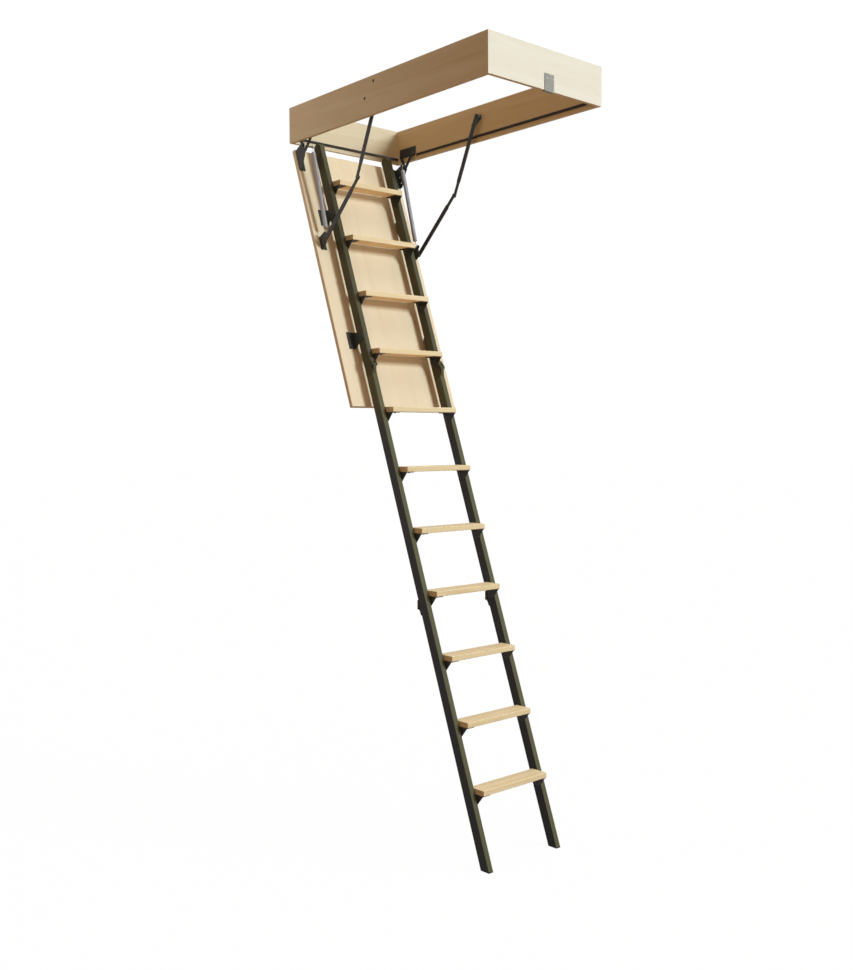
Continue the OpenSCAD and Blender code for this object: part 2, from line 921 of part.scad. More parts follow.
tread(5);  // tread_6
tread(6);  // tread_7
tread(7);  // tread_8
tread_brackets(1);  // mid_tread_brackets
mid_hinge_leaves();
mid_hinge_pins();
lower_stile(near);  // lower_stile_near
lower_stile(far);  // lower_stile_far
tread(8);  // tread_9
tread(9);  // tread_10
tread(10);  // tread_11
tread_brackets(2);  // lower_tread_brackets
lower_hinge_leaves();
foot_plugs();
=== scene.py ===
# %% [markdown]
# # A folding attic ladder
#
# The ladder hangs from a wooden casing in the ceiling. Its pieces come from the packed CAD model, which
# is the fixed frame of this scene. Here they get their finishes, the two springs are wound in full, and
# the small rivets and screws go on.

# %% Load the frame
import json
import math

import bmesh
import bpy
from mathutils import Matrix, Vector


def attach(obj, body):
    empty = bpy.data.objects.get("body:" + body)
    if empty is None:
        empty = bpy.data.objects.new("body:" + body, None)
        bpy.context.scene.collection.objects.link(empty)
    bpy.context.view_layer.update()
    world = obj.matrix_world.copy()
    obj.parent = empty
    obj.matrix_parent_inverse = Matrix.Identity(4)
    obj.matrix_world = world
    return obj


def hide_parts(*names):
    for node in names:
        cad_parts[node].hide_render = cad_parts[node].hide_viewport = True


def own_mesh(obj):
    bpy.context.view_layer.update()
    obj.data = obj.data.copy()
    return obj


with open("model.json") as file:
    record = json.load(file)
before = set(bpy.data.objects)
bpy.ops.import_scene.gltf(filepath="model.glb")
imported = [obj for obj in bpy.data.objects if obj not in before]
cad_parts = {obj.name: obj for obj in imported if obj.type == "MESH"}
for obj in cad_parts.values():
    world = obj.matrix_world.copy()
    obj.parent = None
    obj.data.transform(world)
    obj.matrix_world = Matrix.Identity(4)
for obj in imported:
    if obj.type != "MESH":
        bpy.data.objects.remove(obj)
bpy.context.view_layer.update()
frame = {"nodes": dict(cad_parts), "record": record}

scene = bpy.context.scene
nodes = frame["nodes"]
print("loaded", len(nodes), "pieces of the ladder")

# %% [markdown]
# ## The camera
#
# The ladder is seen from in front and from its near side, at eye height, so the casing shows its
# underside. A camera can be set by eye, but a ladder is all straight edges and gives every error away. So
# the place, turn and focal length were solved from the corners of the casing, the treads and the feet in
# the picture. The sensor is set on the picture's tall side, and the lens follows from the focal length in
# pixels.

# %% Camera
PICTURE_H = 970
FOCAL_PIXELS = 1104.16
SENSOR_MM = 36
CAMERA_AT = Vector((3.2742, -2.9483, -1.2205))
YAW, PITCH, ROLL = (math.radians(a) for a in (138.6308, -2.5158, -0.3367))

forward = Vector((math.cos(YAW) * math.cos(PITCH), math.sin(YAW) * math.cos(PITCH), math.sin(PITCH)))
level = Vector((math.sin(YAW), -math.cos(YAW), 0))
upright = level.cross(forward)
camera_x = level * math.cos(ROLL) + upright * math.sin(ROLL)
camera_y = upright * math.cos(ROLL) - level * math.sin(ROLL)
camera_turn = Matrix((camera_x, camera_y, -forward)).transposed().to_4x4()

camera = bpy.data.objects.new("camera", bpy.data.cameras.new("camera"))
camera.data.sensor_fit = "VERTICAL"
camera.data.sensor_height = SENSOR_MM
camera.data.lens = SENSOR_MM * FOCAL_PIXELS / PICTURE_H
camera.matrix_world = Matrix.Translation(CAMERA_AT) @ camera_turn
scene.collection.objects.link(camera)
scene.camera = camera
print("lens", round(camera.data.lens, 2), "mm")

# %% [markdown]
# ## Writing shaders as sums
#
# A finish is a small network of nodes. Wiring them one by one hides the idea, so a socket is wrapped in a
# class whose operators add Math nodes. An expression such as 0.4 + 0.2 * fibre then reads as what it
# means.


# %% Sockets that can be added and multiplied
class Value:
    """One output socket. Arithmetic on it adds Math nodes to its finish."""

    def __init__(self, finish, socket):
        self.finish = finish
        self.socket = socket

    def math(self, operation, first, second=0.0):
        return self.finish.node("ShaderNodeMath", {"operation": operation}, {0: first, 1: second})

    def __add__(self, other):
        return self.math("ADD", self, other)

    def __sub__(self, other):
        return self.math("SUBTRACT", self, other)

    def __rsub__(self, other):
        return self.math("SUBTRACT", other, self)

    def __mul__(self, other):
        return self.math("MULTIPLY", self, other)

    def above(self, edge):
        return self.math("GREATER_THAN", self, edge)

    def sine(self):
        return self.math("SINE", self)

    def size(self):
        return self.math("ABSOLUTE", self)

    def greater(self, other):
        return self.math("MAXIMUM", self, other)

    __radd__ = __add__
    __rmul__ = __mul__


print("sockets can be added, subtracted, multiplied and compared")

# %% [markdown]
# A finish is one material. All its nodes come from one method, which takes the node's type, its settings
# and what goes into its sockets. The other methods give that method shorter names, so that a recipe for
# wood or paint reads as a list of layers and not as a list of links.

# %% A finish and its nodes
UNTURNED = (0, 0, 0)


class Finish:
    """A material, with its shader, and the nodes that feed it."""

    def __init__(self, name):
        self.material = bpy.data.materials.new(name)
        self.use(self.material, "ShaderNodeOutputMaterial")
        self.shader = self.tree.nodes.new("ShaderNodeBsdfPrincipled")
        self.tree.links.new(self.shader.outputs[0], self.output.inputs["Surface"])

    def use(self, owner, output_kind):
        owner.use_nodes = True
        self.tree = owner.node_tree
        self.tree.nodes.clear()
        self.output = self.tree.nodes.new(output_kind)

    def put(self, socket, value):
        if isinstance(value, Value):
            self.tree.links.new(value.socket, socket)
        else:
            socket.default_value = value

    def node(self, kind, settings=None, inputs=None, output=0):
        made = self.tree.nodes.new(kind)
        for name, value in (settings or {}).items():
            if name == "stops":
                self.set_stops(made.color_ramp, value)
            else:
                setattr(made, name, value)
        for key, value in (inputs or {}).items():
            self.put(made.inputs[key], value)
        return Value(self, made.outputs[output])

    @staticmethod
    def set_stops(ramp, stops):
        while len(ramp.elements) < len(stops):
            ramp.elements.new(1.0)
        for element, (place, colour) in zip(ramp.elements, stops):
            element.position = place
            element.color = (*colour, 1)

    def place(self, turn=UNTURNED, stretch=(1, 1, 1)):
        """The point on the piece, in metres, turned and then stretched."""
        point = self.node("ShaderNodeTexCoord", output="Object")
        turned = self.node("ShaderNodeMapping", inputs={"Vector": point, "Rotation": turn})
        return self.node("ShaderNodeVectorMath", {"operation": "MULTIPLY"}, {0: turned, 1: stretch})

    def axis(self, vector, letter):
        return self.node("ShaderNodeSeparateXYZ", inputs={0: vector}, output="XYZ".index(letter))

    def looks(self, letter, turn=UNTURNED, share=0.7):
        """1 where the surface looks along an axis of the piece, either way, and 0 elsewhere."""
        normal = self.node("ShaderNodeTexCoord", output="Normal")
        turned = self.node("ShaderNodeMapping", inputs={"Vector": normal, "Rotation": turn})
        return self.axis(turned, letter).size().above(share)

    def noise(self, place, scale, detail, distortion=0.0):
        inputs = {"Vector": place, "Scale": scale, "Detail": detail, "Distortion": distortion}
        return self.node("ShaderNodeTexNoise", inputs=inputs)

    def ramp(self, value, stops):
        return self.node("ShaderNodeValToRGB", {"stops": stops}, {0: value})

    def mix(self, share, first, second):
        inputs = {0: share, 6: self.solid(first), 7: self.solid(second)}
        return self.node("ShaderNodeMix", {"data_type": "RGBA"}, inputs, output=2)

    @staticmethod
    def solid(colour):
        return colour if isinstance(colour, Value) else (*colour, 1)

    def bump(self, height, depth, strength):
        return self.node("ShaderNodeBump", inputs={"Height": height, "Distance": depth, "Strength": strength})

    def surface(self, **sockets):
        for name, value in sockets.items():
            self.put(self.shader.inputs[name.replace("_", " ")], value)
        return self.material


print("a finish has", len([name for name in vars(Finish) if not name.startswith("_")]), "methods")

# %% [markdown]
# Colours are written as a screen shows them, from 0 to 255, because most people know them in that form.
# Shaders reckon with light, so each colour is turned into light once, where it enters a finish.


# %% Screen colours as light
def linear(red, green, blue):
    """A colour as a screen shows it, as the light that shaders reckon with."""
    return tuple(((c / 255 + 0.055) / 1.055) ** 2.4 for c in (red, green, blue))


print("middle grey on a screen is", round(linear(128, 128, 128)[0], 3), "of the light of white")

# %% [markdown]
# ## Wood
#
# The casing, the hatch and the treads are pale birch-like board. Sawn board shows three things: broad
# warm and cool patches, growth lines that follow those patches, and fine fibres along the board. A
# picture of board would repeat and would stop at every corner. So one stretched noise gives the patches,
# the sine of it gives the growth lines, and a second, longer noise gives the fibres, all of them solid
# through the piece.

# %% Wood
ALONG = {"X": (1.3, 22, 22), "Y": (22, 1.3, 22)}
FIBRE = {"X": (5, 420, 420), "Y": (420, 5, 420)}
GROWTH_LINES = 34
GROWTH_SHARE, FIBRE_SHARE = 0.6, 0.9
DEEP_AT, MID_AT, PALE_AT = 0.28, 0.52, 0.74
WOOD_SHEEN = 0.2
FIBRE_DEPTH = 0.00025


def waves(value, count):
    """A value turned into stripes, each from 0 to 1 and back."""
    return 0.5 + 0.5 * (value * count).sine()


def board_finish(name, grain, pale, mid, deep, turn=UNTURNED, figure=0.16, cut=None):
    """A satin board. cut, if given, takes the finish and the face colour and returns face and cut edges."""
    finish = Finish(name)
    patches = finish.noise(finish.place(turn, ALONG[grain]), 1.0, 4.0, 0.7)
    growth = waves(patches, GROWTH_LINES)
    fibres = finish.noise(finish.place(turn, FIBRE[grain]), 1.0, 3.0)
    shade = patches * (1 - figure) + growth * (figure * GROWTH_SHARE) + fibres * (figure * FIBRE_SHARE)
    stops = [(DEEP_AT, linear(*deep)), (MID_AT, linear(*mid)), (PALE_AT, linear(*pale))]
    colour = finish.ramp(shade, stops)
    if cut:
        colour = cut(finish, colour)
    return finish.surface(
        Base_Color=colour,
        Roughness=0.5 + 0.12 * fibres,
        Specular_IOR_Level=WOOD_SHEEN,
        Normal=finish.bump(fibres + growth * 0.4, FIBRE_DEPTH, 0.5),
    )


print("a board can have its grain along", " or ".join(ALONG))

# %% [markdown]
# A casing board is plywood, so its cut rims show the edges of the veneers as thin stripes through the
# thickness. They could be cut as grooves, but they are thinner than a pencil line. So the stripes are a
# sine across the board, and a mask on the surface's direction keeps them on the rim.

# %% Plywood of the casing
VENEER = 0.0032
VENEER_WAVES = 2 * math.pi / VENEER
SIDE_BROWN = (204, 190, 159)
RIM_STOPS = [(0.2, linear(206, 186, 150)), (0.8, linear(226, 212, 182))]


def rim_of_casing(across, ends=False):
    """The rims of a board that is so many veneers thick along one axis. ends adds its two brown ends."""

    def cut(finish, face):
        stripes = waves(finish.axis(finish.place(), across), VENEER_WAVES)
        colour = finish.mix(finish.looks("Z"), face, finish.ramp(stripes, RIM_STOPS))
        if ends:
            colour = finish.mix(finish.looks("Y"), colour, linear(*SIDE_BROWN))
        return colour

    return cut


casing_side_wood = board_finish(
    "casing_side_wood", "X", (210, 198, 169), SIDE_BROWN, (195, 178, 143), cut=rim_of_casing("Y")
)
far_side_wood = board_finish(
    "far_side_wood", "X", (221, 200, 164), (215, 191, 151), (205, 178, 135), cut=rim_of_casing("Y")
)
hinge_end_wood = board_finish(
    "hinge_end_wood", "Y", (213, 197, 165), (207, 190, 156), (197, 176, 139),
    cut=rim_of_casing("X", ends=True),
)
# The latch end board is painted paler and plainer than the other boards: painted light, where the key light
# falls full on its face.
lit_latch_end_wood = board_finish(
    "lit_latch_end_wood", "Y", (230, 224, 206), (226, 220, 201), (220, 212, 190),
    figure=0.1, cut=rim_of_casing("X", ends=True),
)
print("casing boards have veneers of", VENEER * 1000, "mm")

# %% [markdown]
# The hatch is a smooth faced panel. Its broad face is nearly plain, and its sawn edges are browner. It
# leans, so its wood is turned by the same slope. The treads are solid wood with the grain across the
# ladder, so their sawn ends show rings. True rings would be circles round the middle of a tree, but only
# the small ends show them. So they are the same sine, over a noise that is drawn out along the tread.

# %% Wood of the hatch and the treads
SLOPE = math.radians(70.5)
HATCH_TURN = (0, -SLOPE, 0)
HATCH_EDGE_STOPS = [(0.1, linear(208, 190, 156)), (0.9, linear(226, 212, 182))]
RING_STOPS = [(0.1, linear(200, 178, 142)), (0.9, linear(222, 204, 168))]
RING_STRETCH = (30, 1, 60)
RINGS = 40


def edges_of_hatch(finish, face):
    stripes = waves(finish.axis(finish.place(HATCH_TURN), "Z"), VENEER_WAVES)
    edge = 1 - finish.looks("Z", HATCH_TURN, 0.6)
    return finish.mix(edge, face, finish.ramp(stripes, HATCH_EDGE_STOPS))


def ends_of_tread(finish, face):
    rings = waves(finish.noise(finish.place(stretch=RING_STRETCH), 1.0, 2.0, 1.2), RINGS)
    return finish.mix(finish.looks("Y"), face, finish.ramp(rings, RING_STOPS))


hatch_wood = board_finish(
    "hatch_wood", "X", (220, 201, 169), (217, 198, 166), (213, 193, 160),
    turn=HATCH_TURN, figure=0.08, cut=edges_of_hatch,
)
tread_wood = board_finish(
    "tread_wood", "Y", (224, 205, 166), (216, 195, 154), (203, 179, 135), cut=ends_of_tread
)
print("wood of the hatch leans by", round(math.degrees(SLOPE), 1), "degrees")

# %% [markdown]
# ## Powder coats
#
# The stiles are powder coated: a dark olive skin with a fine orange-peel surface and a soft sheen. The upper
# stiles' coat is painted darker, as painted shade of the casing. Below the hatch their side faces get a
# painted shade, dark grey and darker towards the feet. The fittings and the pins are black. One flat colour
# would look like paper on so long a bar, so a fine noise makes the peel in the bump and a broad one makes
# handled patches.
# The painted shade is mixed in by the surface's direction and its height.

# %% Powder coats
BLACK, WHITE = (0, 0, 0), (1, 1, 1)
# Where the painted shade on the stiles' side faces sets in, how sharply, and how fast it darkens towards the
# feet.
WEB_TURNS_AT = -1.09
WEB_TURNS_BY = 9
WEB_FADES_BY = 0.6
PEEL_SCALE, PEEL_DEPTH = 900, 0.00006
HANDLED_FROM, HANDLED_TO = 0.45, 0.75


def coat_finish(name, colour, dust, roughness, sheen, side_shade=None):
    """A grainy coat with a little dust. side_shade gives the painted shade of its side faces at the hatch and
    at the feet.
    """
    finish = Finish(name)
    place = finish.place()
    grain = finish.noise(place, PEEL_SCALE, 2.0)
    patches = finish.noise(place, 9, 4.0, 0.4)
    handled = finish.ramp(patches, [(HANDLED_FROM, BLACK), (HANDLED_TO, WHITE)])
    coat = finish.mix(handled, linear(*colour), linear(*dust))
    # Painted shade: below the hatch the side faces turn dark grey, darker towards the feet.
    if side_shade:
        at_hatch, at_feet = side_shade
        drop = WEB_TURNS_AT - finish.axis(place, "Z")
        below = finish.ramp(drop * WEB_TURNS_BY, [(0, BLACK), (1, WHITE)])
        charcoal_shade = finish.ramp(drop * WEB_FADES_BY, [(0, linear(*at_hatch)), (1, linear(*at_feet))])
        coat = finish.mix(finish.looks("Y") * below, coat, charcoal_shade)
    return finish.surface(
        Base_Color=coat,
        Roughness=roughness + 0.12 * patches,
        Specular_IOR_Level=sheen,
        Normal=finish.bump(grain, PEEL_DEPTH, 0.6),
    )


# This coat is painted darker than the lower sections' coat, as painted shade of the casing on the upper
# stiles.
shaded_stile_coat = coat_finish("shaded_stile_coat", (68, 64, 41), (76, 72, 48), 0.5, 0.15)
stile_coat_shaded_sides = coat_finish(
    "stile_coat_shaded_sides", (80, 77, 52), (88, 85, 59), 0.5, 0.15, side_shade=((63, 65, 69), (30, 32, 31))
)
black_coat = coat_finish("black_coat", (46, 45, 41), (52, 51, 47), 0.48, 0.25)
print("stiles turn charcoal", -WEB_TURNS_AT, "m below the casing")

# %% [markdown]
# ## Plated steel, rubber and plastic
#
# The latch plate is zinc plated and dull, and the springs and the latch's screws are bright. Rolls and
# dies leave fine streaks in steel. An anisotropic shader could show them, but on pieces this small a
# stretched noise in the gloss is enough. The sealing strip is soft rubber and the plugs in the feet are
# plastic: both are dull and speckled, and one recipe serves for both.

# %% Plated steel, rubber and plastic
STREAKS = (40, 40, 900)
STREAK_DEPTH = 0.00003
SPECKLE_DEPTH = 0.0001


def plated_finish(name, bright, dull, roughness, metal):
    """Plated or drawn steel, with fine streaks from the rolls or the die."""
    finish = Finish(name)
    fine = finish.noise(finish.place(stretch=STREAKS), 1.0, 3.0)
    bloom = finish.noise(finish.place(), 60, 3.0, 0.5)
    return finish.surface(
        Base_Color=finish.mix(bloom, dull, bright),
        Metallic=metal,
        Roughness=roughness + 0.18 * fine,
        Normal=finish.bump(fine, STREAK_DEPTH, 0.5),
    )


def rubber_finish(name, colour, worn):
    """A dull, speckled skin that is a little paler where it is worn."""
    finish = Finish(name)
    place = finish.place()
    speckle = finish.noise(place, 600, 3.0)
    patches = finish.noise(place, 14, 3.0)
    return finish.surface(
        Base_Color=finish.mix(patches, linear(*colour), linear(*worn)),
        Roughness=0.72 + 0.15 * speckle,
        Specular_IOR_Level=0.3,
        Normal=finish.bump(speckle, SPECKLE_DEPTH, 0.5),
    )


zinc_plate = plated_finish("zinc_plate", (0.228, 0.213, 0.175), (0.187, 0.174, 0.144), 0.66, 0.7)
spring_wire = plated_finish("spring_wire", (0.40, 0.39, 0.40), (0.32, 0.31, 0.32), 0.28, 0.2)
seal_rubber = rubber_finish("seal_rubber", (38, 32, 26), (48, 41, 33))
plug_plastic = rubber_finish("plug_plastic", (36, 35, 30), (44, 42, 36))
print(len(bpy.data.materials), "materials so far")

# %% [markdown]
# ## Dress the CAD pieces
#
# A CAD piece keeps its mesh and only changes its material. Each could be given one by hand, but the CAD
# already names a slot for every piece, so a table from slot to finish does most of them. A second table
# holds the exceptions. The casing's boards run two ways and differ in tone, so each has its own wood; the
# latch end's is paler as painted light. The two lower sections' stiles take the coat with painted shade on
# their sides.

# %% Dress the CAD pieces
slot_of = {part["node"]: part["material_slot"] for part in frame["record"]["subparts"]}
finish_of_slot = {
    "casing_ply": casing_side_wood,
    "hatch_board": hatch_wood,
    "tread_wood": tread_wood,
    "seal_rubber": seal_rubber,
    "stile_paint": shaded_stile_coat,
    "black_steel": black_coat,
    "zinc_steel": zinc_plate,
    "spring_steel": spring_wire,
    "plug_plastic": plug_plastic,
}
finish_of_node = {
    "casing_far_side": far_side_wood,
    "casing_hinge_end": hinge_end_wood,
    "casing_latch_end": lit_latch_end_wood,
    "latch_screws": spring_wire,
}
for name in ("hinge_plate_pins", "hinge_bracket_pins", "arm_bracket_pins"):
    finish_of_node[name] = black_coat
# The lower sections' stiles and lower hinges take the coat with the painted shade on its side faces.
for name in slot_of:
    if name.startswith(("mid_stile", "lower_stile", "lower_hinge")):
        finish_of_node[name] = stile_coat_shaded_sides
for name, piece in nodes.items():
    piece.data.materials.clear()
    piece.data.materials.append(finish_of_node.get(name, finish_of_slot[slot_of[name]]))
print("dressed", len(nodes), "pieces,", len(finish_of_node), "of them by name")

# %% [markdown]
# ## Places on the hatch
#
# The hatch and the ladder lean, so a place on them is given the way the CAD gives it: down the hatch,
# across it, and out of its face. A turned empty as a parent could do it. Three vectors that turn such a
# place into a point of the room keep every piece in the CAD's own frame, which the finishes count on.

# %% Places on the hatch
MM = 0.001
HATCH_CORNER = Vector((-0.596978, 0, -0.029529))
DOWN = Vector((math.cos(SLOPE), 0, -math.sin(SLOPE)))
ACROSS = Vector((0, 1, 0))
OUT = Vector((math.sin(SLOPE), 0, math.cos(SLOPE)))


def on_hatch(down, across, out):
    """A place on the open hatch, from millimetres."""
    return HATCH_CORNER + (DOWN * down + ACROSS * across + OUT * out) * MM


HATCH_MIDDLE = on_hatch(575, 0, 18)
print("middle of the hatch at", [round(c, 3) for c in HATCH_MIDDLE])

# %% [markdown]
# ## The springs
#
# Each hatch spring is wound tight, coil against coil, so from a step away it looks like a bright rod. The
# CAD has an open coil for its weight and place. A Screw modifier could wind a coil but not its hooks. So
# the wire is a curve along the real winding: a hook round the upper post, a first curl that opens out of
# the axis, the tight coil, and the same hook at the lower post. Points are (along, across, out) of the
# spring's own axis.

# %% The path of the wire
SPRING_Y = 241
UPPER_POST = (25.30, 92.87)
LOWER_POST = (404, 59)
WIRE = 2.6
COIL_R = 7.7
COIL_PITCH = 2.85
POINTS_PER_CURL = 20
SWELL_POINTS = 1.5 * POINTS_PER_CURL
HOOK_R, HOOK_BEND_R, HOOK_NECK, HOOK_SEAT = 6.0, 5.0, 10.0, 1.9
HOOK_END = math.radians(260)
HOOK_STEPS, BEND_STEPS = 20, 6

BEND_REACH = math.sqrt(HOOK_R ** 2 + 2 * HOOK_R * HOOK_BEND_R)
HOOK_START = math.atan2(HOOK_BEND_R, BEND_REACH)
COIL_START = HOOK_SEAT + BEND_REACH + HOOK_NECK
SPAN = math.dist(UPPER_POST, LOWER_POST)


def hook_points():
    """A ring round the post and a bend onto the spring's axis."""
    points = []
    for i in range(HOOK_STEPS + 1):
        a = HOOK_END + (HOOK_START - HOOK_END) * i / HOOK_STEPS
        points.append((HOOK_SEAT + HOOK_R * math.cos(a), 0, HOOK_R * math.sin(a)))
    for i in range(1, BEND_STEPS + 1):
        a = (math.pi / 2 - HOOK_START) * (1 - i / BEND_STEPS)
        along = HOOK_SEAT + BEND_REACH - HOOK_BEND_R * math.sin(a)
        points.append((along, 0, HOOK_BEND_R * (1 - math.cos(a))))
    return points


def coil_points(length):
    """The tight coil, which swells out of the axis at one end and back at the other."""
    steps = round(length / COIL_PITCH) * POINTS_PER_CURL
    points = []
    for i in range(steps + 1):
        radius = COIL_R * min(1, i / SWELL_POINTS, (steps - i) / SWELL_POINTS)
        a = 2 * math.pi * i / POINTS_PER_CURL
        points.append((COIL_START + length * i / steps, radius * math.sin(a), radius * math.cos(a)))
    return points


hook = hook_points()
far_hook = [(SPAN - x, y, z) for x, y, z in reversed(hook)]
wire_path = hook + coil_points(SPAN - 2 * COIL_START) + far_hook
print("the wire has", len(wire_path), "points over", round(SPAN, 1), "mm")

# %% [markdown]
# The curve gets its thickness from its bevel and is then made a mesh. As the hatch swings up the posts
# come a little closer, but the spring keeps its length.

# %% Wind the springs
SIDES = {"near": -1, "far": 1}


def finished(name, mesh, material, body):
    """A mesh as a smooth piece that rides on a body."""
    mesh.materials.clear()
    mesh.materials.append(material)
    mesh.shade_smooth()
    piece = bpy.data.objects.new(name, mesh)
    scene.collection.objects.link(piece)
    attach(piece, body)
    return piece


def wire_mesh(name, side):
    """The wire of one spring as a mesh."""
    curve = bpy.data.curves.new(name, "CURVE")
    curve.dimensions = "3D"
    curve.bevel_depth = WIRE / 2 * MM
    curve.bevel_resolution = 2
    curve.use_fill_caps = True
    spline = curve.splines.new("POLY")
    spline.points.add(len(wire_path) - 1)
    axis_down = (LOWER_POST[0] - UPPER_POST[0]) / SPAN
    axis_out = (LOWER_POST[1] - UPPER_POST[1]) / SPAN
    for point, (x, y, z) in zip(spline.points, wire_path):
        down = UPPER_POST[0] + x * axis_down - z * axis_out
        out = UPPER_POST[1] + x * axis_out + z * axis_down
        point.co = (*on_hatch(down, side * (SPRING_Y + y), out), 1)
    wire = bpy.data.objects.new(name + "_wire", curve)
    scene.collection.objects.link(wire)
    mesh = bpy.data.meshes.new_from_object(wire.evaluated_get(bpy.context.evaluated_depsgraph_get()))
    mesh.name = name
    bpy.data.objects.remove(wire)
    return mesh


for label, side in SIDES.items():
    name = f"hatch_spring_{label}"
    spring = finished(name, wire_mesh(name, side), spring_wire, "hatch")
    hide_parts(f"spring_{label}")
    lower_end = on_hatch(LOWER_POST[0], side * SPRING_Y, LOWER_POST[1])
    upper_end = on_hatch(UPPER_POST[0], side * SPRING_Y, UPPER_POST[1])
    upper_end - lower_end
    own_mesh(spring)
    print(spring.name, len(spring.data.polygons), "faces")

# %% [markdown]
# ## Rivets and screws
#
# Rivets hold the brackets to the stiles, and screws hold them to the wood. They are small, but they catch
# the light, and a bracket without them seems to float. Each could be modelled on its own, but there are
# many and they are alike. So one head of each kind is spun from a profile of a few points, with a radius
# of 1, and every rivet or screw is a copy of it.

# %% One head of each kind
HEAD_SIDES = 16


def head_mesh(name, profile):
    """A closed cap of radius 1, from a profile of (radius, height) spun about Z."""
    bm = bmesh.new()
    verts = [bm.verts.new((r, 0, h)) for r, h in profile]
    edges = [bm.edges.new(pair) for pair in zip(verts, verts[1:])]
    bmesh.ops.spin(
        bm, geom=verts + edges, cent=(0, 0, 0), axis=(0, 0, 1), dvec=(0, 0, 0),
        angle=2 * math.pi, steps=HEAD_SIDES, use_merge=True, use_duplicate=False,
    )
    bmesh.ops.remove_doubles(bm, verts=bm.verts, dist=1e-6)
    bmesh.ops.recalc_face_normals(bm, faces=bm.faces)
    mesh = bpy.data.meshes.new(name)
    bm.to_mesh(mesh)
    bm.free()
    return mesh


RIVET = head_mesh("rivet_head", [(1, -0.3), (1, 0.12), (0.86, 0.42), (0.5, 0.62), (0, 0.7)])
PAN = head_mesh("pan_head", [(1, -0.3), (1, 0.3), (0.84, 0.52), (0.62, 0.58), (0.36, 0.34), (0, 0.3)])
FLUSH = head_mesh("flush_head", [(1, -0.3), (1, 0.04), (0.9, 0.06), (0.36, 0.06), (0.3, -0.1), (0, -0.1)])
print("heads with", [len(head.polygons) for head in (RIVET, PAN, FLUSH)], "faces")

# %% [markdown]
# Heads that ride on the same body are gathered into one piece, which keeps the list of pieces short.
# Every tread stands on two angles: each angle is riveted to its stile and has two screws up into the
# tread.

# %% Fasteners of the treads
TREAD_START, TREAD_PITCH, TREAD_OUT, TREAD_T = 185, 250, 132.5, 20
BRACKET_IN, FLANGE_T, FLANGE_MIDDLE = 165.7, 3, 146
ANGLE_RIVETS, ANGLE_RIVET_R = ((-59, -11), (-53, -29)), 4
ANGLE_SCREWS, ANGLE_SCREW_R = (-18, -52), 4.2
SECTIONS = (
    ("upper", "hatch", range(0, 4)),
    ("mid", "mid_section", range(4, 8)),
    ("lower", "bottom_section", range(8, 11)),
)


def fastened(name, places, body):
    """Gathers black heads: each place is (head, point, direction, radius in mm)."""
    bm = bmesh.new()
    for head, point, direction, radius in places:
        start = len(bm.verts)
        bm.from_mesh(head)
        bm.verts.ensure_lookup_table()
        turn = Vector((0, 0, 1)).rotation_difference(direction).to_matrix().to_4x4()
        stand = Matrix.Translation(point) @ turn @ Matrix.Scale(radius * MM, 4)
        bmesh.ops.transform(bm, matrix=stand, verts=bm.verts[start:])
    bmesh.ops.recalc_face_normals(bm, faces=bm.faces)
    mesh = bpy.data.meshes.new(name)
    bm.to_mesh(mesh)
    bm.free()
    print(name, len(places), "heads")
    return finished(name, mesh, black_coat, body)


for section, body, treads in SECTIONS:
    rivets, screws = [], []
    for k in treads:
        edge = on_hatch(TREAD_START + k * TREAD_PITCH, 0, TREAD_OUT) - Vector((0, 0, TREAD_T * MM))
        for side in SIDES.values():
            for x, z in ANGLE_RIVETS:
                point = edge + Vector((x, side * BRACKET_IN, z)) * MM
                rivets.append((RIVET, point, Vector((0, -side, 0)), ANGLE_RIVET_R))
            for x in ANGLE_SCREWS:
                point = edge + Vector((x, side * FLANGE_MIDDLE, -FLANGE_T)) * MM
                screws.append((PAN, point, Vector((0, 0, -1)), ANGLE_SCREW_R))
    fastened(f"{section}_angle_rivets", rivets, body)
    fastened(f"{section}_tread_screws", screws, body)

# %% [markdown]
# The fittings on the hatch are screwed through their flanges, and the stand-off brackets are bolted to
# the outer faces of the stiles. The hinge plates lie flat on the casing's boards, so their screws are
# flush.

# %% Fasteners of the hatch and the casing
FLANGE_TOP = 21
STANDOFFS_AT = (308, 858)
STANDOFF_SCREWS, STANDOFF_SCREW_Y, STANDOFF_SCREW_R = (-24, 24), 212, 4.4
STANDOFF_BOLT_Y, STANDOFF_BOLT_OUT, STANDOFF_BOLT_R = 197, 64.5, 6
HINGE_BRACKET_SCREWS, HINGE_BRACKET_Y = (22, 78), 256
ARM_BRACKET_SCREWS, ARM_BRACKET_Y = (413, 447), 238
FITTING_SCREW_R = 4.2
PLATE_SCREWS, PLATE_Y, PLATE_SCREW_R = ((-538, 52), (-502, 44), (-466, 52)), 277, 4

hatch_screws, standoff_bolts, plate_screws = [], [], []
for side in SIDES.values():
    outward = Vector((0, side, 0))
    for place in STANDOFFS_AT:
        for shift in STANDOFF_SCREWS:
            point = on_hatch(place + shift, side * STANDOFF_SCREW_Y, FLANGE_TOP)
            hatch_screws.append((PAN, point, OUT, STANDOFF_SCREW_R))
        point = on_hatch(place, side * STANDOFF_BOLT_Y, STANDOFF_BOLT_OUT)
        standoff_bolts.append((RIVET, point, outward, STANDOFF_BOLT_R))
    for places, y in ((HINGE_BRACKET_SCREWS, HINGE_BRACKET_Y), (ARM_BRACKET_SCREWS, ARM_BRACKET_Y)):
        for down in places:
            hatch_screws.append((PAN, on_hatch(down, side * y, FLANGE_TOP), OUT, FITTING_SCREW_R))
    for x, z in PLATE_SCREWS:
        plate_screws.append((FLUSH, Vector((x, side * PLATE_Y, z)) * MM, -outward, PLATE_SCREW_R))
fastened("hatch_fitting_screws", hatch_screws, "hatch")
fastened("standoff_bolts", standoff_bolts, "hatch")
